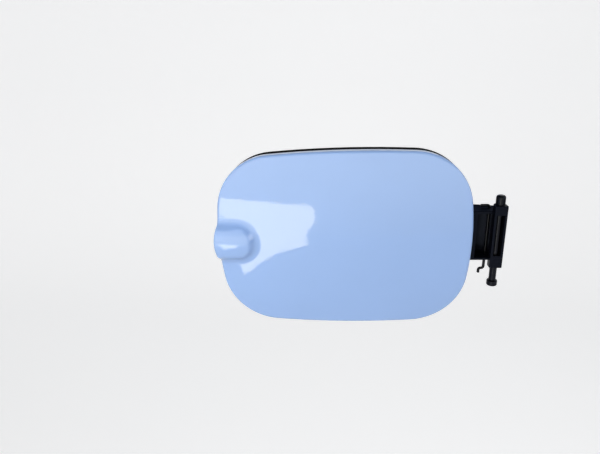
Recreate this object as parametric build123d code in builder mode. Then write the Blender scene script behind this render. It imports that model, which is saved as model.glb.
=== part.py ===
"""Car fuel door: painted skin with a finger lip, black carrier, gooseneck hinge arm and hinge pin.

Millimetres. The origin is on the hinge line at the door's mid-height. +X points from the door to
its hinge side, +Y into the car and +Z up. The door is closed, and opens by turning about +Z.
"""
import os
from math import asin, atan, cos, degrees, sin, sqrt, tan

from build123d import *

# Hinge line, measured from the painted panel
PIVOT_TO_EDGE = 19.2  # hinge line to the panel's nearest edge, across the door
PIVOT_TO_RIM = 8.4  # hinge line behind the panel's rim plane

# Painted panel
PANEL_WIDTH = 180.0
PANEL_HEIGHT = 130.6
SIDE_RADIUS = 226.0  # bow of the upright sides
TOP_RADIUS = 795.0  # bow of the top and bottom sides
CORNER_RADIUS = 41.0
CROWN_RISE = 4.6  # middle of the face in front of the rim plane
CROWN_RADIUS_ACROSS = 2200.0
CROWN_RADIUS_UP = 900.0
SKIN = 2.6
RETURN_WALL = 2.2
RETURN_DEPTH = 4.0  # back of the return behind the rim plane
EDGE_RADIUS = 2.0

# Finger lip on the free edge
LIP_ABOVE_MIDDLE = 1.4
LIP_TOP_LEVEL = 11.2  # crest of its top in front of the rim plane
LIP_ROOT_LEVEL = 3.2  # the face round it in front of the rim plane
LIP_TOP_HALF = 8.3  # half its width at the level of the crest
LIP_TOP_END = 22.6  # its inner end at the level of the crest, in from the free edge
LIP_TOP_CORNER = 7.8
LIP_SPREAD = 6.3  # how far its sides run out from crest level to root level
LIP_CREST_FROM_EDGE = 6.5
LIP_CREST_DROP = 1.0  # crest below the lip's mid-line
LIP_RADIUS_ACROSS = 85.0  # bow of its top along its run
LIP_RADIUS_UP = 23.0  # bow of its top across its run
LIP_TOP_ROUND = 4.2
LIP_ROOT_ROUND = 6.5
LIP_REACH = 1.5  # how far its end stands out past the free edge
LIP_END_HALF = 16.0  # half the chord of its bowed end
LIP_END_BLEND = 12.0
FINGER_FROM_EDGE = 12.0  # round end of the way in behind the lip, its axis in from the free edge
FINGER_RADIUS = 12.5

# Carrier behind the skin
NEST_CLEARANCE = 0.3  # carrier wall inside the skin's return
BOND_GAP = 0.4  # carrier wall behind the skin, filled by adhesive
CARRIER_WALL = 2.0
FLOOR_DEPTH = 5.2  # front of the floor behind the rim plane
FLOOR = 2.4
CARRIER_DEPTH = 13.0  # back of the brim behind the rim plane
BRIM = 2.0
BRIM_ROUND = 0.7
RIB = 1.6
RIB_HEIGHT = 3.4
RIB_CELL_WIDTH = 26.0
RIB_CELL_HEIGHT = 24.0
RIB_COLUMNS = 7
RIB_ROWS = 5
RIB_CLEARANCE = 2.0  # ribs stop this far from what stands among them

# Lock eye, moulded on the carrier
EYE_FROM_EDGE = 42.0
EYE_HEIGHT = 17.0  # top of the eye behind the floor
EYE_WIDTH = 14.0
EYE_THICKNESS = 4.0
EYE_HOLE_DIAMETER = 7.0
EYE_GUSSET = 2.0
EYE_GUSSET_FOOT = 8.0
EYE_GUSSET_HEIGHT = 4.5

# Rubber buffers
BUMPER_FROM_EDGE = 32.0
BUMPER_FROM_TOP = 25.3  # and as far from the bottom edge
BUMPER_HEAD_DIAMETER = 12.0
BUMPER_HEIGHT = 8.0
BUMPER_STEM_DIAMETER = 4.8
BUMPER_BARB_DIAMETER = 7.0
BUMPER_BARB_HEIGHT = 3.0
BUMPER_TIP_DIAMETER = 2.4
BUMPER_ROUND = 2.0
BUMPER_CLEARANCE = 0.1  # stem in its hole, radial

# Hinge arm
SEAT_REACH = 52.0  # inner end of the seat, in from the panel's edge
SEAT_HEIGHT = 50.0
SEAT_THICKNESS = 4.0
SEAT_SHOULDER = 8.0  # from the panel's edge to where the seat starts to widen
SEAT_FLARE = 7.0
SEAT_CORNER = 7.0
SEAT_BORDER = 2.0
SEAT_BORDER_HEIGHT = 2.4
ARM_HEIGHT = 37.2
ARM_CLEARANCE = 0.5  # arm in the gap through the carrier's side
WEB = 1.8
TROUGH_FROM_PIVOT = 14.5  # trough's near wall from the hinge line
TROUGH_PAST_PIVOT = 0.5  # trough's far wall past the hinge line
TROUGH_BOTTOM = 15.2  # behind the hinge line, at the near wall
TROUGH_SHOAL = 4.5  # how much shallower it is at the far wall
TROUGH_ROUND = 3.0
NECK_WALL = 2.8
NECK_ROUND = 5.0
NECK_ROOT_ROUND = 4.0
ARM_EDGE_ROUND = 0.6
GUSSET = 2.0
GUSSET_SPACING = 16.0
GUSSET_REACH = 16.0
GUSSET_DEPTH = 12.0
KNUCKLE_WIDTH = 8.8  # and the diameter of its round back
KNUCKLE_FRONT = 4.6  # flat front, in front of the hinge line
KNUCKLE_HEIGHT = 46.5
KNUCKLE_CORNER = 0.8
KNUCKLE_RIM_ROUND = 0.5
WINDOW_HEIGHT = 30.4  # slot in the knuckle's front, where the pin shows
WINDOW_ABOVE_MIDDLE = 1.3
WINDOW_CLEARANCE = 0.2  # each side of the pin

# Hinge pin and its cap
PIN_DIAMETER = 5.0
PIN_CLEARANCE = 0.05  # pin in the knuckle, radial
JOURNAL_DIAMETER = 6.4
JOURNAL_HEIGHT = 6.5
JOURNAL_DOME = 1.6
END_PLAY = 0.3  # journal head above the knuckle
NECK_LENGTH = 11.2  # free pin between knuckle and cap
CAP_DIAMETER = 7.4
CAP_HEIGHT = 4.2
CAP_FLOOR = 0.8
CAP_ROUND = 0.8
CAP_CLEARANCE = 0.03

# Detent spring
WIRE_DIAMETER = 2.0
WIRE_CLEARANCE = 0.1
WIRE_FROM_PIVOT = 4.6  # wire towards the door from the hinge line
WIRE_BEHIND_PIVOT = 8.0
WIRE_BEND = 1.6
WIRE_HOOK = 6.0  # top end, turned over the upper web
WIRE_DROP = 10.3  # free wire under the lower web
WIRE_FOOT = 3.4
WIRE_TOE = 3.6

# Screws that hold the arm
SCREW_DIAMETER = 4.0
SCREW_CLEARANCE = 0.2  # in the arm, radial
THREAD_CLEARANCE = 0.05  # in the boss, radial
SCREW_HEAD_DIAMETER = 8.0
SCREW_HEAD_HEIGHT = 2.8
SCREW_HEAD_ROUND = 1.0
SCREW_RECESS = 3.4  # across the corners of its six-sided recess
SCREW_RECESS_DEPTH = 1.6
SCREW_LENGTH = 10.0
SCREW_PATTERN_WIDTH = 24.0
SCREW_PATTERN_HEIGHT = 32.0
SCREW_FROM_SEAT_END = 8.0
BOSS_DIAMETER = 8.0
BOSS_HEIGHT = 4.4
BOSS_END = 0.6  # closed end of a boss

# Places worked out from the sizes above
PANEL_X = -PIVOT_TO_EDGE - PANEL_WIDTH / 2
RIM_Y = -PIVOT_TO_RIM
FREE_EDGE_X = PANEL_X - PANEL_WIDTH / 2
FINGER_X = FREE_EDGE_X + FINGER_FROM_EDGE
LIP_CREST_X = FREE_EDGE_X + LIP_CREST_FROM_EDGE
LIP_CREST_Z = LIP_ABOVE_MIDDLE - LIP_CREST_DROP
LIP_LEAN = atan(LIP_SPREAD / (LIP_TOP_LEVEL - LIP_ROOT_LEVEL))
LIP_DRAW_IN = (1 - sin(LIP_LEAN)) / cos(LIP_LEAN)  # sides move in by this share of a surface inset
FLOOR_BACK = FLOOR_DEPTH + FLOOR
FLOOR_Y = RIM_Y + FLOOR_DEPTH
SEAT_Y = RIM_Y + FLOOR_BACK
SEAT_EDGE_X = -PIVOT_TO_EDGE - SEAT_SHOULDER
SEAT_BACK_Y = SEAT_Y + SEAT_THICKNESS
SEAT_END_X = -PIVOT_TO_EDGE - SEAT_REACH
NECK_X = -TROUGH_FROM_PIVOT - NECK_WALL
NECK_BACK_Y = TROUGH_BOTTOM + NECK_WALL
STRUT_X = TROUGH_PAST_PIVOT + NECK_WALL
BACK_SLOPE = TROUGH_SHOAL / (TROUGH_FROM_PIVOT + TROUGH_PAST_PIVOT)
STRUT_BACK_Y = NECK_BACK_Y - BACK_SLOPE * (STRUT_X - NECK_X)
KNUCKLE_TOP = KNUCKLE_HEIGHT / 2
WEB_TOP = ARM_HEIGHT / 2
CAP_TOP = -KNUCKLE_TOP - NECK_LENGTH
SCREWS_X = SEAT_END_X + SCREW_FROM_SEAT_END + SCREW_PATTERN_WIDTH / 2
SCREW_PLACES = [
    (SCREWS_X + side * SCREW_PATTERN_WIDTH / 2, rise * SCREW_PATTERN_HEIGHT / 2)
    for side in (-1, 1)
    for rise in (-1, 1)
]
EYE_X = FREE_EDGE_X + EYE_FROM_EDGE
BUMPER_X = FREE_EDGE_X + BUMPER_FROM_EDGE
BUMPER_RISE = PANEL_HEIGHT / 2 - BUMPER_FROM_TOP
BUMPER_PLACES = [(BUMPER_X, -BUMPER_RISE), (BUMPER_X, BUMPER_RISE)]
OVERSIZE = 20.0  # spare stock round a shape before it is trimmed
FACE_SPARE = 4.0  # spare stock round the crowned face
LIP_SPARE = 2.0  # spare stock of the lip above its crest
LIP_SINK = 4.0  # spare stock of the lip below the face round it
LIP_STOCK = LIP_SPARE + LIP_TOP_LEVEL - LIP_ROOT_LEVEL + LIP_SINK
STOCK = PANEL_HEIGHT  # longer than any trim goes
SIDE_RATIO = 0.4  # a side's normal has less than this along Y
FRONT_RATIO = 0.9  # a front's normal has more than this along Y


def facing(depth):
    """Plane parallel to the door's face, so far behind the rim plane, looking out of the car."""
    return Plane(origin=(PANEL_X, RIM_Y + depth, 0), x_dir=(1, 0, 0), z_dir=(0, -1, 0))


def panel_outline(inset=0.0):
    """Bowed rounded rectangle of the door, the overlap of four large circles, drawn in by the inset."""
    side_centre = PANEL_WIDTH / 2 - SIDE_RADIUS
    top_centre = PANEL_HEIGHT / 2 - TOP_RADIUS
    with BuildSketch() as shape:
        with Locations((side_centre, 0)):
            Circle(SIDE_RADIUS - inset)
        with Locations((-side_centre, 0)):
            Circle(SIDE_RADIUS - inset, mode=Mode.INTERSECT)
        with Locations((0, top_centre)):
            Circle(TOP_RADIUS - inset, mode=Mode.INTERSECT)
        with Locations((0, -top_centre)):
            Circle(TOP_RADIUS - inset, mode=Mode.INTERSECT)
        fillet(shape.vertices(), CORNER_RADIUS - inset)
    return shape.sketch


def skin_outline():
    """The door's outline with the bowed end of the finger lip standing out of its free edge."""
    left = -PANEL_WIDTH / 2
    root = left + LIP_REACH
    high = LIP_ABOVE_MIDDLE + LIP_END_HALF
    low = LIP_ABOVE_MIDDLE - LIP_END_HALF
    with BuildSketch() as shape:
        add(panel_outline())
        with BuildLine():
            ThreePointArc((root, high), (left - LIP_REACH, LIP_ABOVE_MIDDLE), (root, low))
            Line((root, low), (root, high))
        make_face()
        joins = shape.vertices().filter_by(lambda v: v.X < root and low < v.Y < high)
        fillet(joins, LIP_END_BLEND)
    return shape.sketch


def finger_way(grow=0.0):
    """Round-ended slot behind the lip, open past the free edge."""
    radius = FINGER_RADIUS + grow
    with BuildSketch() as shape:
        with Locations((FINGER_X - PANEL_X, LIP_ABOVE_MIDDLE)):
            Circle(radius)
            Rectangle(FINGER_FROM_EDGE + OVERSIZE, 2 * radius, align=(Align.MAX, Align.CENTER))
    return shape.sketch


def carrier_outline(inset=0.0):
    """Outline of the carrier's wall, with the finger notch in it, drawn in by the inset."""
    with BuildSketch() as shape:
        add(panel_outline(RETURN_WALL + NEST_CLEARANCE + inset))
        add(finger_way(inset), mode=Mode.SUBTRACT)
    return shape.sketch


def barrel(crest, across, up, half_width, half_height, depth):
    """Block whose front is bowed both ways about its crest: radius across along X, radius up along Z."""
    x, y, z = crest
    half_turn = asin(half_width / across)
    sag = up - sqrt(up**2 - half_height**2)
    section = Plane(
        origin=(x, y + across, z),
        x_dir=(-sin(half_turn), -cos(half_turn), 0),
        z_dir=(-cos(half_turn), sin(half_turn), 0),
    )
    with BuildPart() as block:
        with BuildSketch(section):
            with BuildLine():
                bow = ThreePointArc((across - sag, -half_height), (across, 0), (across - sag, half_height))
                Polyline(bow @ 1, (across - depth, half_height), (across - depth, -half_height), bow @ 0)
            make_face()
        revolve(axis=Axis(section.origin, (0, 0, 1)), revolution_arc=2 * degrees(half_turn))
    return block.part


def lip_profile(half, inset):
    """Sloping section of the lip, this wide to each side at crest level, moved in by the inset."""
    top = half - inset * LIP_DRAW_IN - LIP_SPARE * tan(LIP_LEAN)
    foot = top + LIP_STOCK * tan(LIP_LEAN)
    high = inset - LIP_TOP_LEVEL - LIP_SPARE
    low = high + LIP_STOCK
    with BuildSketch() as profile:
        with BuildLine():
            Polyline((-top, high), (top, high), (foot, low), (-foot, low), close=True)
        make_face()
    return profile.sketch


def finger_lip(inset):
    """Finger lip run out past the free edge, its surface moved in by the inset."""
    corner_x = FREE_EDGE_X + LIP_TOP_END - LIP_TOP_CORNER
    corner_rise = LIP_TOP_HALF - LIP_TOP_CORNER
    along = Plane(origin=(corner_x, RIM_Y, LIP_ABOVE_MIDDLE), x_dir=(0, 0, 1), z_dir=(-1, 0, 0))
    top = barrel(
        (LIP_CREST_X, RIM_Y - LIP_TOP_LEVEL + inset, LIP_CREST_Z),
        LIP_RADIUS_ACROSS - inset,
        LIP_RADIUS_UP - inset,
        LIP_TOP_END + LIP_SPREAD,
        LIP_TOP_HALF + LIP_SPREAD + LIP_SINK,
        LIP_TOP_LEVEL + OVERSIZE,
    )
    with BuildPart() as lip:
        # Sides along its run, inner end, and a cone at each corner between them
        with BuildSketch(along):
            add(lip_profile(LIP_TOP_HALF, inset))
        extrude(amount=LIP_TOP_END - LIP_TOP_CORNER + 2 * FACE_SPARE)
        for rise in (-corner_rise, corner_rise):
            upright = Plane.XY.offset(LIP_ABOVE_MIDDLE + rise).move(Location((corner_x, RIM_Y, 0)))
            with BuildSketch(upright):
                add(lip_profile(LIP_TOP_CORNER, inset))
            extrude(amount=-rise)
            with BuildSketch(upright):
                add(lip_profile(LIP_TOP_CORNER, inset))
                split(bisect_by=Plane.YZ, keep=Keep.BOTTOM)
            revolve(axis=Axis(upright.origin, (0, 1, 0)))

        # Top bowed both ways, with a soft rim
        add(top, mode=Mode.INTERSECT)
        crest = lip.faces().filter_by(GeomType.TORUS).sort_by(SortBy.AREA)[-1]
        slopes = lip.faces().filter_by(lambda f: SIDE_RATIO < abs(f.normal_at().Y) < FRONT_RATIO)
        rims = crest.edges().filter_by(lambda e: any(e.is_same(side) for side in slopes.edges()))
        fillet(rims, LIP_TOP_ROUND - inset)
    return lip.part


def crowned_block(inset):
    """Oversize block with the door's crowned face and lip, its surface moved in by the inset."""
    face = barrel(
        (PANEL_X, RIM_Y - CROWN_RISE + inset, 0),
        CROWN_RADIUS_ACROSS - inset,
        CROWN_RADIUS_UP - inset,
        PANEL_WIDTH / 2 + FACE_SPARE,
        PANEL_HEIGHT / 2 + FACE_SPARE,
        STOCK,
    )
    with BuildPart() as block:
        add(face)
        add(finger_lip(inset))

        # Soft root where the lip's slopes meet the crowned face
        crown = block.faces().filter_by(GeomType.TORUS).sort_by(SortBy.AREA)[-1]
        slopes = block.faces().filter_by(lambda f: SIDE_RATIO < abs(f.normal_at().Y) < FRONT_RATIO)
        roots = crown.edges().filter_by(lambda e: any(e.is_same(side) for side in slopes.edges()))
        fillet(roots, LIP_ROOT_ROUND + inset)
    return block.part


def skin_hollow():
    """Space inside the skin: within the return, and out under the lip past the free edge."""
    with BuildPart() as hollow:
        with BuildSketch(facing(RETURN_DEPTH + OVERSIZE)):
            add(panel_outline(RETURN_WALL))
        extrude(amount=STOCK)
        with BuildSketch(facing(RETURN_DEPTH + OVERSIZE)):
            add(finger_way())
        extrude(amount=STOCK)
        add(crowned_block(SKIN), mode=Mode.INTERSECT)
    return hollow.part


# Painted skin with its finger lip
with BuildPart() as outer_panel:
    with BuildSketch(facing(RETURN_DEPTH)):
        add(skin_outline())
    extrude(amount=STOCK)
    add(crowned_block(0.0), mode=Mode.INTERSECT)
    sides = outer_panel.faces().filter_by(lambda f: abs(f.normal_at().Y) < SIDE_RATIO)
    back = outer_panel.faces().sort_by(Axis.Y)[-1]
    front_edges = sides.edges().filter_by(lambda e: abs(e.tangent_at(0.5).Y) < FRONT_RATIO)
    front_edges = front_edges.filter_by(lambda e: not any(e.is_same(other) for other in back.edges()))
    fillet(front_edges, EDGE_RADIUS)
    add(skin_hollow(), mode=Mode.SUBTRACT)
    with BuildSketch(facing(RETURN_DEPTH + OVERSIZE)):
        add(finger_way())
    extrude(amount=OVERSIZE + RETURN_DEPTH + LIP_ROOT_LEVEL, mode=Mode.SUBTRACT)
outer_panel.part.label = "outer_panel"

# Brim of the carrier, flush with the skin's outline
with BuildPart() as brim:
    with BuildSketch(facing(CARRIER_DEPTH)):
        add(panel_outline())
    extrude(amount=BRIM)
    fillet(brim.faces().filter_by(Axis.Y).edges(), BRIM_ROUND)
    with BuildSketch(facing(CARRIER_DEPTH)):
        add(carrier_outline(CARRIER_WALL))
        add(finger_way())
    extrude(amount=BRIM, mode=Mode.SUBTRACT)

# Black carrier: floor, nesting wall, brim, ribs, bosses and lock eye in one moulding
with BuildPart() as inner_panel:
    with BuildSketch(facing(CARRIER_DEPTH)):
        add(carrier_outline())
    extrude(amount=STOCK)
    add(crowned_block(SKIN + BOND_GAP), mode=Mode.INTERSECT)
    with BuildSketch(facing(FLOOR_DEPTH)):
        add(carrier_outline(CARRIER_WALL))
    extrude(amount=STOCK, mode=Mode.SUBTRACT)
    with BuildSketch(facing(FLOOR_BACK)):
        add(carrier_outline(CARRIER_WALL))
    extrude(amount=-STOCK, mode=Mode.SUBTRACT)
    add(brim.part)

    # Ribs across the back of the floor, kept off the seat and the buffers
    with BuildSketch(facing(FLOOR_BACK)):
        with GridLocations(RIB_CELL_WIDTH, 0, RIB_COLUMNS, 1):
            Rectangle(RIB, PANEL_HEIGHT)
        with GridLocations(0, RIB_CELL_HEIGHT, 1, RIB_ROWS):
            Rectangle(PANEL_WIDTH, RIB)
        add(carrier_outline(CARRIER_WALL), mode=Mode.INTERSECT)
    extrude(amount=-RIB_HEIGHT)
    with BuildSketch(Plane.XZ.offset(-SEAT_Y)):
        with Locations((SEAT_END_X - RIB_CLEARANCE, 0)):
            Rectangle(SEAT_REACH, SEAT_HEIGHT + 2 * RIB_CLEARANCE, align=(Align.MIN, Align.CENTER))
        with Locations(*BUMPER_PLACES):
            Circle(BUMPER_HEAD_DIAMETER / 2 + RIB_CLEARANCE)
    extrude(amount=-RIB_HEIGHT, mode=Mode.SUBTRACT)

    # Screw bosses under the arm's seat
    with BuildSketch(Plane.XZ.offset(-FLOOR_Y)):
        with Locations(*SCREW_PLACES):
            Circle(BOSS_DIAMETER / 2)
    extrude(amount=BOSS_HEIGHT)
    with BuildSketch(Plane.XZ.offset(-SEAT_Y)):
        with Locations(*SCREW_PLACES):
            Circle(SCREW_DIAMETER / 2 + THREAD_CLEARANCE)
    extrude(amount=FLOOR + BOSS_HEIGHT - BOSS_END, mode=Mode.SUBTRACT)

    # Holes for the rubber buffers
    with BuildSketch(Plane.XZ.offset(-SEAT_Y)):
        with Locations(*BUMPER_PLACES):
            Circle(BUMPER_STEM_DIAMETER / 2 + BUMPER_CLEARANCE)
    extrude(amount=FLOOR, mode=Mode.SUBTRACT)

    # Lock eye with a gusset on each side
    eye_plane = Plane(origin=(EYE_X, SEAT_Y, LIP_ABOVE_MIDDLE), x_dir=(0, 0, 1), z_dir=(1, 0, 0))
    with BuildSketch(eye_plane):
        with Locations((0, -(EYE_HEIGHT - EYE_WIDTH / 2))):
            Circle(EYE_WIDTH / 2)
            Rectangle(EYE_WIDTH, EYE_HEIGHT - EYE_WIDTH / 2, align=(Align.CENTER, Align.MIN))
            Circle(EYE_HOLE_DIAMETER / 2, mode=Mode.SUBTRACT)
    extrude(amount=EYE_THICKNESS / 2, both=True)
    with BuildSketch(Plane(origin=(EYE_X, SEAT_Y, LIP_ABOVE_MIDDLE))):
        with BuildLine():
            Polyline((-EYE_GUSSET_FOOT, 0), (0, EYE_GUSSET_HEIGHT), (EYE_GUSSET_FOOT, 0), close=True)
        make_face()
    extrude(amount=EYE_GUSSET / 2, both=True)

    # Gap through the side for the hinge arm
    with BuildSketch(facing(FLOOR_BACK)):
        Rectangle(PANEL_WIDTH, ARM_HEIGHT + 2 * ARM_CLEARANCE, align=(Align.MIN, Align.CENTER))
    extrude(amount=-STOCK, mode=Mode.SUBTRACT)
inner_panel.part.label = "inner_panel"

# Knuckle of the arm: round back, flat front, rounded ends
with BuildPart() as knuckle:
    with BuildSketch(Plane.XY.offset(-KNUCKLE_TOP)) as section:
        Circle(KNUCKLE_WIDTH / 2)
        Rectangle(KNUCKLE_WIDTH, KNUCKLE_FRONT, align=(Align.CENTER, Align.MAX))
        fillet(section.vertices().group_by(Axis.Y)[0], KNUCKLE_CORNER)
    extrude(amount=KNUCKLE_HEIGHT)
    fillet(knuckle.faces().filter_by(Axis.Z).edges(), KNUCKLE_RIM_ROUND)

# Gooseneck hinge arm: neck round a trough between two webs, seat, and the knuckle, in one moulding
with BuildPart() as hinge_arm:
    with BuildSketch():
        with BuildLine():
            FilletPolyline(
                (SEAT_EDGE_X, SEAT_Y),
                (STRUT_X, SEAT_Y),
                (STRUT_X, STRUT_BACK_Y),
                (NECK_X, NECK_BACK_Y),
                (NECK_X, SEAT_BACK_Y),
                (SEAT_EDGE_X, SEAT_BACK_Y),
                radius=(0, 0, NECK_ROUND, NECK_ROUND, NECK_ROOT_ROUND, 0),
                close=True,
            )
        make_face()
    extrude(amount=WEB_TOP, both=True)
    web_rims = hinge_arm.faces().filter_by(Axis.Z).edges()
    fillet(web_rims.filter_by(lambda e: e.center().X > SEAT_EDGE_X + ARM_EDGE_ROUND), ARM_EDGE_ROUND)
    with BuildSketch():
        with BuildLine():
            FilletPolyline(
                (-TROUGH_FROM_PIVOT, -KNUCKLE_FRONT),
                (TROUGH_PAST_PIVOT, -KNUCKLE_FRONT),
                (TROUGH_PAST_PIVOT, TROUGH_BOTTOM - TROUGH_SHOAL),
                (-TROUGH_FROM_PIVOT, TROUGH_BOTTOM),
                radius=(0, 0, TROUGH_ROUND, TROUGH_ROUND),
                close=True,
            )
        make_face()
    extrude(amount=WEB_TOP - WEB, both=True, mode=Mode.SUBTRACT)

    # Seat, wider than the neck, with a raised border
    with BuildSketch(Plane.XZ.offset(-SEAT_Y)) as seat:
        with BuildLine():
            Polyline(
                (SEAT_EDGE_X, WEB_TOP),
                (SEAT_EDGE_X - SEAT_FLARE, SEAT_HEIGHT / 2),
                (SEAT_END_X, SEAT_HEIGHT / 2),
                (SEAT_END_X, -SEAT_HEIGHT / 2),
                (SEAT_EDGE_X - SEAT_FLARE, -SEAT_HEIGHT / 2),
                (SEAT_EDGE_X, -WEB_TOP),
                close=True,
            )
        make_face()
        fillet(seat.vertices().filter_by(lambda v: v.X < SEAT_EDGE_X), SEAT_CORNER)
    extrude(amount=-SEAT_THICKNESS)
    with BuildSketch(Plane.XZ.offset(-SEAT_BACK_Y)):
        add(seat.sketch_local)
        offset(seat.sketch_local, amount=-SEAT_BORDER, mode=Mode.SUBTRACT)
    extrude(amount=-SEAT_BORDER_HEIGHT)

    # Gussets from the seat to the back of the neck
    for height in (-GUSSET_SPACING / 2, GUSSET_SPACING / 2):
        with BuildSketch(Plane.XY.offset(height)):
            with BuildLine():
                Polyline(
                    (NECK_X - GUSSET_REACH, SEAT_BACK_Y),
                    (NECK_X, SEAT_BACK_Y),
                    (NECK_X, SEAT_BACK_Y + GUSSET_DEPTH),
                    close=True,
                )
            make_face()
        extrude(amount=GUSSET / 2, both=True)

    # Knuckle, with a slot in its front and the bore for the pin
    add(knuckle.part)
    with Locations((0, 0, WINDOW_ABOVE_MIDDLE)):
        Box(
            PIN_DIAMETER + 2 * WINDOW_CLEARANCE,
            KNUCKLE_FRONT,
            WINDOW_HEIGHT,
            align=(Align.CENTER, Align.MAX, Align.CENTER),
            mode=Mode.SUBTRACT,
        )
    Cylinder(PIN_DIAMETER / 2 + PIN_CLEARANCE, KNUCKLE_HEIGHT, mode=Mode.SUBTRACT)

    # Holes for the spring wire through both webs and for the screws through the seat
    with Locations((-WIRE_FROM_PIVOT, WIRE_BEHIND_PIVOT, 0)):
        Cylinder(WIRE_DIAMETER / 2 + WIRE_CLEARANCE, ARM_HEIGHT, mode=Mode.SUBTRACT)
    with BuildSketch(Plane.XZ.offset(-SEAT_Y)):
        with Locations(*SCREW_PLACES):
            Circle(SCREW_DIAMETER / 2 + SCREW_CLEARANCE)
    extrude(amount=-SEAT_THICKNESS, mode=Mode.SUBTRACT)
hinge_arm.part.label = "hinge_arm"

# Steel hinge pin with a domed journal head
with BuildPart() as hinge_pin:
    with BuildSketch(Plane.XZ) as pin_half:
        with BuildLine():
            head = KNUCKLE_TOP + END_PLAY
            tip = CAP_TOP - CAP_HEIGHT + CAP_FLOOR
            Polyline(
                (0, tip),
                (PIN_DIAMETER / 2, tip),
                (PIN_DIAMETER / 2, head),
                (JOURNAL_DIAMETER / 2, head),
                (JOURNAL_DIAMETER / 2, head + JOURNAL_HEIGHT),
                (0, head + JOURNAL_HEIGHT),
                close=True,
            )
        make_face()
        fillet(pin_half.vertices().sort_by(Axis.Y)[-2:].sort_by(Axis.X)[-1], JOURNAL_DOME)
    revolve(axis=Axis.Z)
hinge_pin.part.label = "hinge_pin"

# Steel cap pushed on to the lower end of the pin
with BuildPart() as pin_cap:
    with BuildSketch(Plane.XY.offset(CAP_TOP)):
        Circle(CAP_DIAMETER / 2)
    extrude(amount=-CAP_HEIGHT)
    fillet(pin_cap.edges(), CAP_ROUND)
    with BuildSketch(Plane.XY.offset(CAP_TOP)):
        Circle(PIN_DIAMETER / 2 + CAP_CLEARANCE)
    extrude(amount=CAP_FLOOR - CAP_HEIGHT, mode=Mode.SUBTRACT)
pin_cap.part.label = "pin_cap"

# Detent spring: bent wire through both webs, with a hook at the top and a foot below
with BuildPart() as detent_spring:
    wire_top = WEB_TOP + WIRE_BEND + WIRE_CLEARANCE
    wire_low = -WEB_TOP - WIRE_DROP
    foot_x = -WIRE_FROM_PIVOT - WIRE_FOOT
    with BuildLine() as wire:
        FilletPolyline(
            (-WIRE_FROM_PIVOT - WIRE_HOOK, WIRE_BEHIND_PIVOT, wire_top),
            (-WIRE_FROM_PIVOT, WIRE_BEHIND_PIVOT, wire_top),
            (-WIRE_FROM_PIVOT, WIRE_BEHIND_PIVOT, wire_low),
            (foot_x, WIRE_BEHIND_PIVOT, wire_low),
            (foot_x, WIRE_BEHIND_PIVOT, wire_low - WIRE_TOE),
            radius=WIRE_BEND,
        )
    with BuildSketch(Plane(origin=wire.line @ 0, z_dir=wire.line % 0)):
        Circle(WIRE_DIAMETER / 2)
    sweep(path=wire.line)
detent_spring.part.label = "detent_spring"

# Pan-head screws, driven from behind through the seat into the carrier's bosses
with BuildPart() as arm_screws:
    with BuildSketch(Plane.XZ.offset(-SEAT_BACK_Y)):
        with Locations(*SCREW_PLACES):
            Circle(SCREW_HEAD_DIAMETER / 2)
    extrude(amount=-SCREW_HEAD_HEIGHT)
    fillet(arm_screws.edges().group_by(Axis.Y)[-1], SCREW_HEAD_ROUND)
    with BuildSketch(Plane.XZ.offset(-SEAT_BACK_Y - SCREW_HEAD_HEIGHT)):
        with Locations(*SCREW_PLACES):
            RegularPolygon(SCREW_RECESS / 2, 6)
    extrude(amount=SCREW_RECESS_DEPTH, mode=Mode.SUBTRACT)
    with BuildSketch(Plane.XZ.offset(-SEAT_BACK_Y)):
        with Locations(*SCREW_PLACES):
            Circle(SCREW_DIAMETER / 2)
    extrude(amount=SCREW_LENGTH)
arm_screws.part.label = "arm_screws"


def buffer(height, label):
    """Rubber buffer pushed into the carrier's floor at this height."""
    with BuildPart() as bumper:
        with BuildSketch(Plane.XY.offset(height)) as half:
            with BuildLine():
                Polyline(
                    (BUMPER_X, SEAT_Y + BUMPER_HEIGHT),
                    (BUMPER_X + BUMPER_HEAD_DIAMETER / 2, SEAT_Y + BUMPER_HEIGHT),
                    (BUMPER_X + BUMPER_HEAD_DIAMETER / 2, SEAT_Y),
                    (BUMPER_X + BUMPER_STEM_DIAMETER / 2, SEAT_Y),
                    (BUMPER_X + BUMPER_STEM_DIAMETER / 2, FLOOR_Y),
                    (BUMPER_X + BUMPER_BARB_DIAMETER / 2, FLOOR_Y),
                    (BUMPER_X + BUMPER_TIP_DIAMETER / 2, FLOOR_Y - BUMPER_BARB_HEIGHT),
                    (BUMPER_X, FLOOR_Y - BUMPER_BARB_HEIGHT),
                    close=True,
                )
            make_face()
            fillet(half.vertices().sort_by(Axis.Y)[-2:].sort_by(Axis.X)[-1], BUMPER_ROUND)
        revolve(axis=Axis((BUMPER_X, 0, height), (0, 1, 0)))
    bumper.part.label = label
    return bumper.part


bumper_upper = buffer(BUMPER_RISE, "bumper_upper")
bumper_lower = buffer(-BUMPER_RISE, "bumper_lower")

os.makedirs("parts", exist_ok=True)
for piece in (
    outer_panel.part,
    inner_panel.part,
    hinge_arm.part,
    hinge_pin.part,
    pin_cap.part,
    detent_spring.part,
    arm_screws.part,
    bumper_upper,
    bumper_lower,
):
    export_step(piece, f"parts/{piece.label}.step")
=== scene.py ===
"""Car fuel door: the looks of its painted skin, black mouldings, hinge steel and rubber, and a plain studio.

Metres, in the part's own frame: the hinge line is the Z axis, the painted face looks along -Y.
"""
from math import cos, pi, radians, sin

import bmesh
import bpy
from bpy.props import FloatProperty, FloatVectorProperty, PointerProperty
from mathutils import Matrix, Vector


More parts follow.
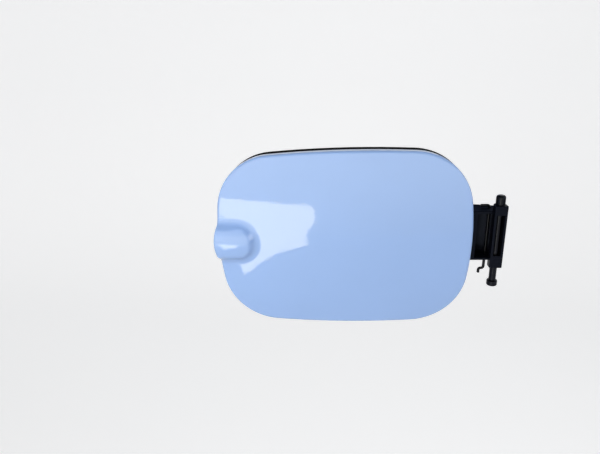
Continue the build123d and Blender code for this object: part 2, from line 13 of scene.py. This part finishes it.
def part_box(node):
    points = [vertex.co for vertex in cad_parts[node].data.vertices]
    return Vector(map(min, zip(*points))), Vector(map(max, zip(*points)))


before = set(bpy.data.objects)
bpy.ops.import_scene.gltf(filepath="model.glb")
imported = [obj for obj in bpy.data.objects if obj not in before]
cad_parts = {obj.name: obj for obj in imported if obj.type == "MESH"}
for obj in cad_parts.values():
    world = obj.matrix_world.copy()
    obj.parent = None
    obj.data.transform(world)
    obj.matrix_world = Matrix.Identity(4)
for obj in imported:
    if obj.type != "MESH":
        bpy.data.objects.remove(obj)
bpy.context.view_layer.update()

bl_info = {
    "name": "Fuel door looks",
    "version": (1, 0, 0),
    "blender": (4, 5, 0),
    "location": "3D View > Sidebar > Fuel Door",
    "description": "Dresses a car fuel door and sets it in a plain studio",
    "category": "Object",
}

MM = 0.001
PANEL_LOW, PANEL_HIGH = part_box("outer_panel")


def linear(code):
    """Turns an sRGB hex colour into linear RGBA."""
    parts = [int(code[i:i + 2], 16) / 255 for i in (0, 2, 4)]
    bent = [c / 12.92 if c <= 0.04045 else ((c + 0.055) / 1.055) ** 2.4 for c in parts]
    return (*bent, 1.0)


def add_node(tree, kind, inputs=None, **settings):
    """Adds a node, gives it its settings, and sets or links its inputs."""
    made = tree.nodes.new("ShaderNode" + kind)
    for name, value in settings.items():
        setattr(made, name, value)
    for name, value in (inputs or {}).items():
        if isinstance(value, bpy.types.NodeSocket):
            tree.links.new(value, made.inputs[name])
        else:
            made.inputs[name].default_value = value
    return made


def new_material(name):
    """Gives an empty material and its node tree."""
    material = bpy.data.materials.new(name)
    material.use_nodes = True
    material.node_tree.nodes.clear()
    return material, material.node_tree


def seen(tree):
    """Gives 1 on rays that show a surface, straight, mirrored or through glass, and 0 on others."""
    ray = add_node(tree, "LightPath").outputs
    shown = add_node(tree, "Math", {0: ray["Is Camera Ray"], 1: ray["Is Glossy Ray"]}, operation="ADD")
    shown = add_node(tree, "Math", {
        0: shown.outputs[0], 1: ray["Is Transmission Ray"]}, operation="ADD", use_clamp=True)
    return shown.outputs[0]


def dress(node_name, material):
    """Puts a material on a CAD node in place of the one it came with."""
    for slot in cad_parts[node_name].material_slots:
        slot.material = material


class PaintSettings(bpy.types.PropertyGroup):
    """Lacquered paint on the skin."""

    colour: FloatVectorProperty(
        name="Paint colour", description="Pale blue base coat",
        subtype="COLOR", size=4, min=0, max=1, default=linear("97B9EE"))
    cloud: FloatProperty(
        name="Clouding", description="Width of the faint unevenness of the sprayed colour",
        unit="LENGTH", default=45 * MM)
    peel: FloatProperty(
        name="Orange peel", description="Width of the waves in the lacquer",
        unit="LENGTH", default=3 * MM)
    peel_depth: FloatProperty(
        name="Peel depth", description="Depth of the waves in the lacquer",
        unit="LENGTH", default=0.02 * MM)


class PlasticSettings(bpy.types.PropertyGroup):
    """Black mouldings."""

    carrier_colour: FloatVectorProperty(
        name="Carrier colour", description="Black polypropylene of the carrier",
        subtype="COLOR", size=4, min=0, max=1, default=linear("0B0D12"))
    arm_colour: FloatVectorProperty(
        name="Arm colour", description="Black glass-filled nylon of the hinge arm",
        subtype="COLOR", size=4, min=0, max=1, default=linear("08090F"))
    grain: FloatProperty(
        name="Grain", description="Width of the eroded grain on the carrier",
        unit="LENGTH", default=0.5 * MM)
    grain_depth: FloatProperty(
        name="Grain depth", description="Depth of the eroded grain on the carrier",
        unit="LENGTH", default=0.04 * MM)
    rub: FloatProperty(
        name="Rubbed places", description="Width of the places on the carrier that handling has rubbed",
        unit="LENGTH", default=25 * MM)
    streak: FloatProperty(
        name="Flow streak", description="Width of the streaks that the glass fibres leave on the arm",
        unit="LENGTH", default=1.4 * MM)
    streak_length: FloatProperty(
        name="Streak length", description="Length of the streaks on the arm",
        unit="LENGTH", default=14 * MM)


class SteelSettings(bpy.types.PropertyGroup):
    """Hinge pin, cap, spring wire and screws."""

    # Pin colour: partly the dark phosphate, partly painted shade that stands in for dark surroundings the
    # steel would mirror
    pin_colour: FloatVectorProperty(
        name="Pin colour", description="Phosphated steel of the pin and its cap",
        subtype="COLOR", size=4, min=0, max=1, default=linear("21232A"))
    wire_colour: FloatVectorProperty(
        name="Wire colour", description="Oil-hardened spring wire",
        subtype="COLOR", size=4, min=0, max=1, default=linear("282A30"))
    screw_colour: FloatVectorProperty(
        name="Screw colour", description="Black zinc of the screws",
        subtype="COLOR", size=4, min=0, max=1, default=linear("333337"))
    ring: FloatProperty(
        name="Turning rings", description="Pitch of the rings that the lathe leaves on the pin",
        unit="LENGTH", default=0.3 * MM)
    line: FloatProperty(
        name="Drawing lines", description="Width of the lines that the die leaves on the wire",
        unit="LENGTH", default=0.35 * MM)
    smear: FloatProperty(
        name="Oil smear", description="Width of the oily patches on the steel",
        unit="LENGTH", default=3 * MM)


class RubberSettings(bpy.types.PropertyGroup):
    """Buffers."""

    colour: FloatVectorProperty(
        name="Rubber colour", description="Black rubber of the buffers",
        subtype="COLOR", size=4, min=0, max=1, default=linear("1B1B1C"))
    bloom: FloatProperty(
        name="Bloom", description="Width of the pale bloom patches on the rubber",
        unit="LENGTH", default=4 * MM)


class StudioSettings(bpy.types.PropertyGroup):
    """Camera, floor, lamps and cards."""

    floor_drop: FloatProperty(
        name="Floor drop", description="Floor below the hinge line's middle",
        unit="LENGTH", default=0.55)
    sheet_glow: FloatProperty(
        name="Sheet glow", description="Glow of the floor and backdrop sheet", default=0.48)
    lens: FloatProperty(
        name="Lens", description="Focal length on a 36 mm sensor, in millimetres", default=27.0)
    air_low: FloatProperty(
        name="Back air", description="Brightness of the air behind the door", default=0.18)
    air_high: FloatProperty(
        name="Front air", description="Brightness of the air in front of the door", default=0.74)
    air_shown: FloatProperty(
        name="Air as seen", description="Brightness of the air that is seen past the sheet", default=0.86)
    key_power: FloatProperty(
        name="Key lamp", description="Power of the soft lamp in front of the free edge",
        subtype="POWER", default=1.15)
    side_power: FloatProperty(
        name="Side lamp", description="Power of the soft lamp on the hinge side",
        subtype="POWER", default=1.2)
    card_colour: FloatVectorProperty(
        name="Card colour", description="Warm white of the cards that lacquer and steel mirror",
        subtype="COLOR", size=4, min=0, max=1, default=linear("FFF5D6"))
    patch_radiance: FloatProperty(
        name="Patch card", description="Brightness of the card mirrored beside the lip", default=7.0)
    front_radiance: FloatProperty(
        name="Front card", description="Brightness of the card mirrored by the top of the face", default=1.7)
    hinge_colour: FloatVectorProperty(
        name="Hinge card colour", description="Cool white of the dim card mirrored by the arm's top",
        subtype="COLOR", size=4, min=0, max=1, default=linear("A4B6E4"))
    hinge_radiance: FloatProperty(
        name="Hinge card", description="Brightness of the dim card mirrored by the arm's top", default=0.7)


class FUELDOOR_OT_paint(bpy.types.Operator):
    """Paints the skin"""

    bl_idname = "fueldoor.paint"
    bl_label = "Paint the skin"

    def execute(self, context):
        settings = context.scene.fuel_door_paint
        material, tree = new_material("lacquered_paint")
        place = add_node(tree, "TexCoord").outputs["Object"]
        # Solid base coat, sprayed: the colour drifts a little over the width of a hand
        cloud = add_node(tree, "TexNoise", {"Vector": place, "Scale": 1 / settings.cloud, "Detail": 2.0})
        drift = add_node(tree, "MapRange", {"Value": cloud.outputs[0], "To Min": 0.96, "To Max": 1.04})
        tone = add_node(tree, "HueSaturation", {"Color": settings.colour[:], "Value": drift.outputs[0]})
        # Clear lacquer: a sharp mirror over the matt colour, its waves soften what it shows
        waves = add_node(tree, "TexNoise", {"Vector": place, "Scale": 1 / settings.peel, "Detail": 1.0})
        peel = add_node(tree, "Bump", {"Height": waves.outputs[0], "Distance": settings.peel_depth})
        shader = add_node(tree, "BsdfPrincipled", {
            "Base Color": tone.outputs[0],
            "Roughness": 0.5,
            "Coat Weight": 1.0,
            "Coat Roughness": 0.012,
            "Coat Normal": peel.outputs[0],
        })
        add_node(tree, "OutputMaterial", {"Surface": shader.outputs[0]})
        dress("outer_panel", material)
        return {"FINISHED"}


class FUELDOOR_OT_carrier(bpy.types.Operator):
    """Finishes the black carrier"""

    bl_idname = "fueldoor.carrier"
    bl_label = "Finish the carrier"

    def execute(self, context):
        settings = context.scene.fuel_door_plastic
        material, tree = new_material("black_polypropylene")
        place = add_node(tree, "TexCoord").outputs["Object"]
        # Eroded mould grain breaks the shine up into a dull sheen
        pits = add_node(tree, "TexNoise", {"Vector": place, "Scale": 1 / settings.grain, "Detail": 2.0})
        grain = add_node(tree, "Bump", {"Height": pits.outputs[0], "Distance": settings.grain_depth})
        # Handling leaves some places shinier than others
        rub = add_node(tree, "TexNoise", {"Vector": place, "Scale": 1 / settings.rub, "Detail": 3.0})
        shine = add_node(tree, "MapRange", {"Value": rub.outputs[0], "To Min": 0.42, "To Max": 0.66})
        grey = add_node(tree, "MapRange", {"Value": rub.outputs[0], "To Min": 1.3, "To Max": 0.7})
        black = settings.carrier_colour[:]
        tone = add_node(tree, "HueSaturation", {"Color": black, "Value": grey.outputs[0]})
        shader = add_node(tree, "BsdfPrincipled", {
            "Base Color": tone.outputs[0],
            "Roughness": shine.outputs[0],
            "Specular IOR Level": 0.25,
            "Normal": grain.outputs[0],
        })
        add_node(tree, "OutputMaterial", {"Surface": shader.outputs[0]})
        dress("inner_panel", material)
        return {"FINISHED"}


class FUELDOOR_OT_arm(bpy.types.Operator):
    """Finishes the hinge arm"""

    bl_idname = "fueldoor.arm"
    bl_label = "Finish the hinge arm"

    def execute(self, context):
        settings = context.scene.fuel_door_plastic
        material, tree = new_material("black_glass_filled_nylon")
        place = add_node(tree, "TexCoord").outputs["Object"]
        # Fibres drawn out along the flow of the melt leave pale, rougher streaks
        flow = add_node(tree, "Mapping", {
            "Vector": place,
            "Scale": (1 / settings.streak_length, 1 / settings.streak, 1 / settings.streak),
        })
        streaks = add_node(tree, "TexNoise", {"Vector": flow.outputs[0], "Scale": 1.0, "Detail": 3.0})
        grey = add_node(tree, "MapRange", {"Value": streaks.outputs[0], "To Min": 0.6, "To Max": 1.6})
        tone = add_node(tree, "HueSaturation", {"Color": settings.arm_colour[:], "Value": grey.outputs[0]})
        shine = add_node(tree, "MapRange", {"Value": streaks.outputs[0], "To Min": 0.3, "To Max": 0.5})
        # The specular tint paints a cold blue cast into the arm's reflections, a painted tint standing in
        # for cool light
        shader = add_node(tree, "BsdfPrincipled", {
            "Base Color": tone.outputs[0],
            "Roughness": shine.outputs[0],
            "Specular IOR Level": 0.14,
            "Specular Tint": linear("B4C8FF"),
        })
        add_node(tree, "OutputMaterial", {"Surface": shader.outputs[0]})
        dress("hinge_arm", material)
        return {"FINISHED"}


class FUELDOOR_OT_pin(bpy.types.Operator):
    """Finishes the hinge pin and its cap"""

    bl_idname = "fueldoor.pin"
    bl_label = "Finish the hinge pin"

    def execute(self, context):
        settings = context.scene.fuel_door_steel
        # The pin's dark tone is partly painted shade, deeper than the phosphate alone
        material, tree = new_material("phosphated_steel_with_painted_shade")
        place = add_node(tree, "TexCoord").outputs["Object"]
        # Turned on a lathe: fine rings round the axis draw the highlight out sideways
        lathe = add_node(tree, "Mapping", {
            "Vector": place,
            "Scale": (1 / settings.smear, 1 / settings.smear, 1 / settings.ring),
        })
        rings = add_node(tree, "TexNoise", {"Vector": lathe.outputs[0], "Scale": 1.0, "Detail": 2.0})
        cut = add_node(tree, "Bump", {"Height": rings.outputs[0], "Distance": 0.02 * settings.ring})
        grey = add_node(tree, "MapRange", {"Value": rings.outputs[0], "To Min": 0.75, "To Max": 1.25})
        tone = add_node(tree, "HueSaturation", {"Color": settings.pin_colour[:], "Value": grey.outputs[0]})
        # Phosphate soaks up oil, which lies on it in shinier patches
        oil = add_node(tree, "TexNoise", {"Vector": place, "Scale": 1 / settings.smear, "Detail": 2.0})
        shine = add_node(tree, "MapRange", {"Value": oil.outputs[0], "To Min": 0.22, "To Max": 0.42})
        shader = add_node(tree, "BsdfPrincipled", {
            "Base Color": tone.outputs[0],
            "Metallic": 1.0,
            "Roughness": shine.outputs[0],
            "Normal": cut.outputs[0],
        })
        add_node(tree, "OutputMaterial", {"Surface": shader.outputs[0]})
        dress("hinge_pin", material)
        dress("pin_cap", material)
        return {"FINISHED"}


class FUELDOOR_OT_spring(bpy.types.Operator):
    """Finishes the spring wire"""

    bl_idname = "fueldoor.spring"
    bl_label = "Finish the spring"

    def execute(self, context):
        settings = context.scene.fuel_door_steel
        material, tree = new_material("oil_hardened_wire")
        place = add_node(tree, "TexCoord").outputs["Object"]
        # Drawn through a die: lines along the wire, over a dark heat scale
        die = add_node(tree, "Mapping", {
            "Vector": place,
            "Scale": (1 / settings.line, 1 / settings.line, 1 / (10 * settings.line)),
        })
        lines = add_node(tree, "TexNoise", {"Vector": die.outputs[0], "Scale": 1.0, "Detail": 2.0})
        grey = add_node(tree, "MapRange", {"Value": lines.outputs[0], "To Min": 0.6, "To Max": 1.4})
        tone = add_node(tree, "HueSaturation", {"Color": settings.wire_colour[:], "Value": grey.outputs[0]})
        shine = add_node(tree, "MapRange", {"Value": lines.outputs[0], "To Min": 0.26, "To Max": 0.44})
        shader = add_node(tree, "BsdfPrincipled", {
            "Base Color": tone.outputs[0],
            "Metallic": 1.0,
            "Roughness": shine.outputs[0],
        })
        add_node(tree, "OutputMaterial", {"Surface": shader.outputs[0]})
        dress("detent_spring", material)
        return {"FINISHED"}


class FUELDOOR_OT_screws(bpy.types.Operator):
    """Finishes the screws"""

    bl_idname = "fueldoor.screws"
    bl_label = "Finish the screws"

    def execute(self, context):
        settings = context.scene.fuel_door_steel
        material, tree = new_material("black_zinc")
        place = add_node(tree, "TexCoord").outputs["Object"]
        # Dipped black passivation dries in soft patches on the bright zinc
        stain = add_node(tree, "TexNoise", {"Vector": place, "Scale": 1 / settings.smear, "Detail": 4.0})
        grey = add_node(tree, "MapRange", {"Value": stain.outputs[0], "To Min": 0.6, "To Max": 1.5})
        tone = add_node(tree, "HueSaturation", {"Color": settings.screw_colour[:], "Value": grey.outputs[0]})
        shine = add_node(tree, "MapRange", {"Value": stain.outputs[0], "To Min": 0.45, "To Max": 0.28})
        shader = add_node(tree, "BsdfPrincipled", {
            "Base Color": tone.outputs[0],
            "Metallic": 1.0,
            "Roughness": shine.outputs[0],
        })
        add_node(tree, "OutputMaterial", {"Surface": shader.outputs[0]})
        dress("arm_screws", material)
        return {"FINISHED"}


class FUELDOOR_OT_buffers(bpy.types.Operator):
    """Finishes the rubber buffers"""

    bl_idname = "fueldoor.buffers"
    bl_label = "Finish the buffers"

    def execute(self, context):
        settings = context.scene.fuel_door_rubber
        material, tree = new_material("black_rubber")
        place = add_node(tree, "TexCoord").outputs["Object"]
        # Wax that has come to the surface greys the rubber in patches
        wax = add_node(tree, "TexNoise", {"Vector": place, "Scale": 1 / settings.bloom, "Detail": 4.0})
        grey = add_node(tree, "MapRange", {"Value": wax.outputs[0], "To Min": 0.7, "To Max": 2.2})
        tone = add_node(tree, "HueSaturation", {"Color": settings.colour[:], "Value": grey.outputs[0]})
        dull = add_node(tree, "MapRange", {"Value": wax.outputs[0], "To Min": 0.62, "To Max": 0.88})
        shader = add_node(tree, "BsdfPrincipled", {
            "Base Color": tone.outputs[0],
            "Roughness": dull.outputs[0],
        })
        add_node(tree, "OutputMaterial", {"Surface": shader.outputs[0]})
        dress("bumper_upper", material)
        dress("bumper_lower", material)
        return {"FINISHED"}


class FUELDOOR_OT_studio(bpy.types.Operator):
    """Sets the floor, backdrop, lamps, cards and camera"""

    bl_idname = "fueldoor.studio"
    bl_label = "Set the studio"

    def execute(self, context):
        settings = context.scene.fuel_door_studio
        self.sweep(context.scene, settings)
        self.lamps(context.scene, settings)
        self.cards(context.scene, settings)
        self.air(context.scene, settings)
        self.camera(context.scene, settings)
        return {"FINISHED"}

    def sweep(self, scene, settings):
        """A floor that curves up into a backdrop."""
        half, front, back, bend, height = 6.0, -8.0, 1.4, 0.6, 3.0
        steps = 16
        low = -settings.floor_drop
        profile = [(front, low)]
        for i in range(steps + 1):
            angle = pi / 2 * i / steps
            profile.append((back - bend + bend * sin(angle), low + bend - bend * cos(angle)))
        profile.append((back, low + height))
        mesh = bpy.data.meshes.new("studio_sweep")
        build = bmesh.new()
        rows = [[build.verts.new((x, y, z)) for x in (-half, half)] for y, z in profile]
        for one, two in zip(rows, rows[1:]):
            build.faces.new((one[0], one[1], two[1], two[0])).smooth = True
        build.to_mesh(mesh)
        build.free()
        sweep = bpy.data.objects.new("studio_sweep", mesh)
        scene.collection.objects.link(sweep)
        # Pale translucent sheet: its own glow shows to the eye and in mirrors and doesn't light the door
        material, tree = new_material("sweep_sheet")
        glow = add_node(tree, "MapRange", {"Value": seen(tree), "To Max": settings.sheet_glow})
        shader = add_node(tree, "BsdfPrincipled", {
            "Base Color": linear("E4E5E7"),
            "Roughness": 0.9,
            "Emission Color": linear("FFFFFF"),
            "Emission Strength": glow.outputs[0],
        })
        add_node(tree, "OutputMaterial", {"Surface": shader.outputs[0]})
        mesh.materials.append(material)

    def lamps(self, scene, settings):
        """A soft key in front of the free edge, and a soft light that grazes the hinge from its side."""
        panel = (PANEL_LOW + PANEL_HIGH) / 2
        for name, place, target, size, power in (
            ("key_lamp", Vector((-0.34, -0.40, 0.10)), panel, 0.25, settings.key_power),
            ("side_lamp", Vector((0.5, -0.18, 0.12)), Vector((0, 0, 0)), 0.35, settings.side_power),
        ):
            lamp = bpy.data.lights.new(name, "AREA")
            lamp.shape = "SQUARE"
            lamp.size = size
            lamp.energy = power
            holder = bpy.data.objects.new(name, lamp)
            holder.location = place
            holder.rotation_euler = (target - place).to_track_quat("-Z", "Y").to_euler()
            holder.visible_camera = False
            # The cards stand for the key in mirrors
            holder.visible_glossy = name != "key_lamp"
            scene.collection.objects.link(holder)

    def cards(self, scene, settings):
        """Bright cards in front, a dim one behind the hinge and black flags, all shown only in mirrors."""
        patch = (
            (-560, -942, -170), (-222, -1005, -225), (-211, -981, -287), (-248, -955, -353),
            (-241, -937, -398), (-339, -905, -420), (-400, -876, -457), (-462, -839, -517),
        )
        front = ((-1500, -1450, -1150), (1000, -1450, -1150), (1000, -1450, 520), (-1500, -1450, 520))
        top = ((-1400, -950, 900), (1400, -1450, 900), (1400, 700, 900), (-1400, 700, 900))
        side = ((1400, -1450, -900), (1400, 700, -900), (1400, 700, 900), (1400, -1450, 900))
        hinge = ((-45, 26, 12), (10, 26, 12), (10, 34, 60), (-45, 34, 60))
        for name, corners, colour, radiance, fade in (
            ("patch_card", patch, settings.card_colour, settings.patch_radiance, 0.01),
            ("front_card", front, settings.card_colour, settings.front_radiance, 0.72),
            ("top_flag", top, settings.card_colour, 0.0, 1.0),
            ("side_flag", side, settings.card_colour, 0.0, 1.0),
            ("hinge_card", hinge, settings.hinge_colour, settings.hinge_radiance, 1.0),
        ):
            mesh = bpy.data.meshes.new(name)
            mesh.from_pydata([Vector(c) * MM for c in corners], [], [range(len(corners))])
            card = bpy.data.objects.new(name, mesh)
            scene.collection.objects.link(card)
            material, tree = new_material(name)
            # Thin sheet lit from its top: the light dies away over the lower share of its height
            rise = add_node(tree, "SeparateXYZ", {0: add_node(tree, "TexCoord").outputs["Generated"]})
            level = add_node(tree, "MapRange", {
                "Value": rise.outputs["Z"], "From Max": fade, "To Max": radiance,
            }, interpolation_type="SMOOTHSTEP")
            glow = add_node(tree, "Emission", {
                "Color": colour[:], "Strength": level.outputs[0]})
            add_node(tree, "OutputMaterial", {"Surface": glow.outputs[0]})
            mesh.materials.append(material)
            card.visible_camera = False
            card.visible_diffuse = False
            card.visible_shadow = False

    def air(self, scene, settings):
        """Soft light all round, brightest in front of the door on the free edge's side, and seen as pale."""
        world = bpy.data.worlds.new("studio_air")
        world.use_nodes = True
        tree = world.node_tree
        tree.nodes.clear()
        way = add_node(tree, "TexCoord").outputs["Generated"]
        bright_side = Vector((-0.3, -0.94, 0.1)).normalized()
        facing = add_node(tree, "VectorMath", {0: way, 1: bright_side}, operation="DOT_PRODUCT")
        level = add_node(tree, "MapRange", {
            "Value": facing.outputs["Value"], "To Min": settings.air_low, "To Max": settings.air_high})
        shown = add_node(tree, "MapRange", {
            "Value": seen(tree), "To Min": level.outputs[0], "To Max": settings.air_shown})
        air = add_node(tree, "Background", {"Color": linear("FFFFFF"), "Strength": shown.outputs[0]})
        add_node(tree, "OutputWorld", {"Surface": air.outputs[0]})
        scene.world = world

    def camera(self, scene, settings):
        """The photograph's view: tilt, turn and roll about a point of the rim plane."""
        tilt, turn, roll = radians(20.455), radians(6.32), radians(-2.825)
        distance = 321.45 * MM
        target = Vector((-138.95, -8.4, 11.4)) * MM
        back = Vector((sin(turn) * cos(tilt), -cos(turn) * cos(tilt), sin(tilt)))
        right = Vector((cos(turn), sin(turn), 0))
        up = back.cross(right)
        right, up = right * cos(roll) + up * sin(roll), up * cos(roll) - right * sin(roll)
        data = bpy.data.cameras.new("camera")
        data.sensor_width = 36.0
        data.lens = settings.lens
        data.clip_start = 0.01
        camera = bpy.data.objects.new("camera", data)
        axes = Matrix((right, up, back)).transposed()
        camera.matrix_world = Matrix.Translation(target + back * distance) @ axes.to_4x4()
        scene.collection.objects.link(camera)
        scene.camera = camera


OPERATORS = (
    FUELDOOR_OT_paint,
    FUELDOOR_OT_carrier,
    FUELDOOR_OT_arm,
    FUELDOOR_OT_pin,
    FUELDOOR_OT_spring,
    FUELDOOR_OT_screws,
    FUELDOOR_OT_buffers,
    FUELDOOR_OT_studio,
)
SETTINGS = {
    "fuel_door_paint": PaintSettings,
    "fuel_door_plastic": PlasticSettings,
    "fuel_door_steel": SteelSettings,
    "fuel_door_rubber": RubberSettings,
    "fuel_door_studio": StudioSettings,
}


class FUELDOOR_PT_sidebar(bpy.types.Panel):
    """Lists the steps that dress the door"""

    bl_idname = "FUELDOOR_PT_sidebar"
    bl_label = "Fuel Door"
    bl_space_type = "VIEW_3D"
    bl_region_type = "UI"
    bl_category = "Fuel Door"

    def draw(self, context):
        for operator in OPERATORS:
            self.layout.operator(operator.bl_idname)


def register():
    """Registers the settings, the operators and the panel."""
    for name, kind in SETTINGS.items():
        bpy.utils.register_class(kind)
        setattr(bpy.types.Scene, name, PointerProperty(type=kind))
    for kind in (*OPERATORS, FUELDOOR_PT_sidebar):
        bpy.utils.register_class(kind)


def unregister():
    """Takes back what register added."""
    for kind in (FUELDOOR_PT_sidebar, *reversed(OPERATORS)):
        bpy.utils.unregister_class(kind)
    for name, kind in reversed(SETTINGS.items()):
        delattr(bpy.types.Scene, name)
        bpy.utils.unregister_class(kind)


def main():
    """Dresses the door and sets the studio."""
    register()
    bpy.context.scene.view_settings.view_transform = "Standard"
    bpy.ops.fueldoor.paint()
    bpy.ops.fueldoor.carrier()
    bpy.ops.fueldoor.arm()
    bpy.ops.fueldoor.pin()
    bpy.ops.fueldoor.spring()
    bpy.ops.fueldoor.screws()
    bpy.ops.fueldoor.buffers()
    bpy.ops.fueldoor.studio()


if __name__ == "__main__":
    main()
